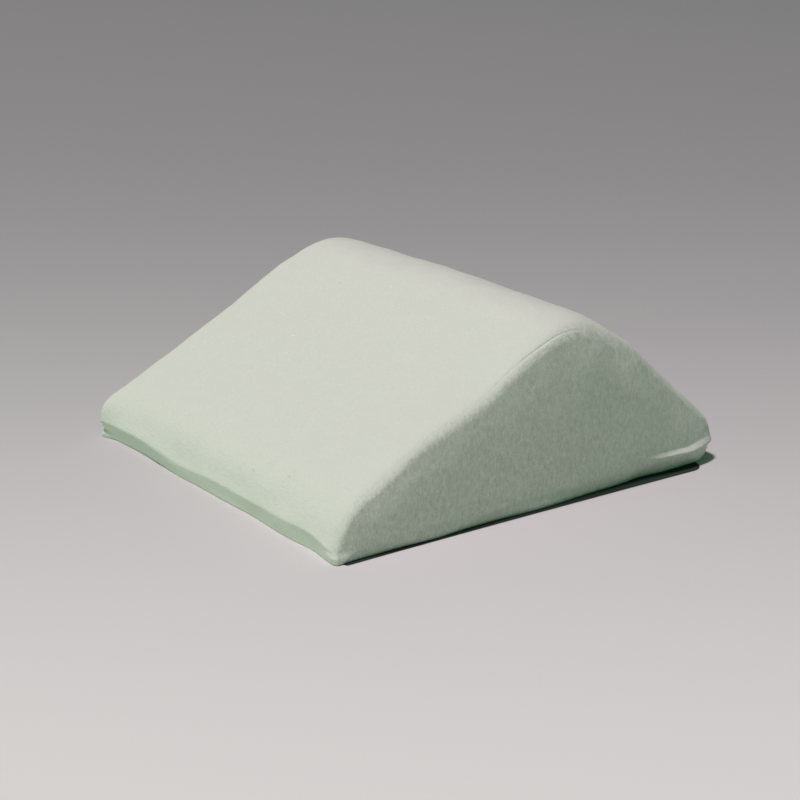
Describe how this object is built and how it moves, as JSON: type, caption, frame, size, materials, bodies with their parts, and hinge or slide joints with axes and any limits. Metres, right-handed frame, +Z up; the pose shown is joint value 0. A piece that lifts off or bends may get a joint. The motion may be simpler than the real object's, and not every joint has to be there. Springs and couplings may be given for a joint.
{
  "type": "memory foam support cushion",
  "caption": "Wedge-shaped foam cushion with a long front slope, a steeper back slope and a rounded crest, in a tight soft knit cover.",
  "frame": {"origin": "middle of the flat base, on the surface that the cushion lies on", "axes": "+X along the crest, towards the end with the pinched corner fold; +Y from the low front lip to the steeper back; +Z up"},
  "size_m": [0.5069, 0.5458, 0.2049],
  "materials": {
    "cover": "matt short-pile knit, off-white with a faint green cast"
  },
  "bodies": {
    "root": {"cushion": "cover"}
  },
  "joints": []
}
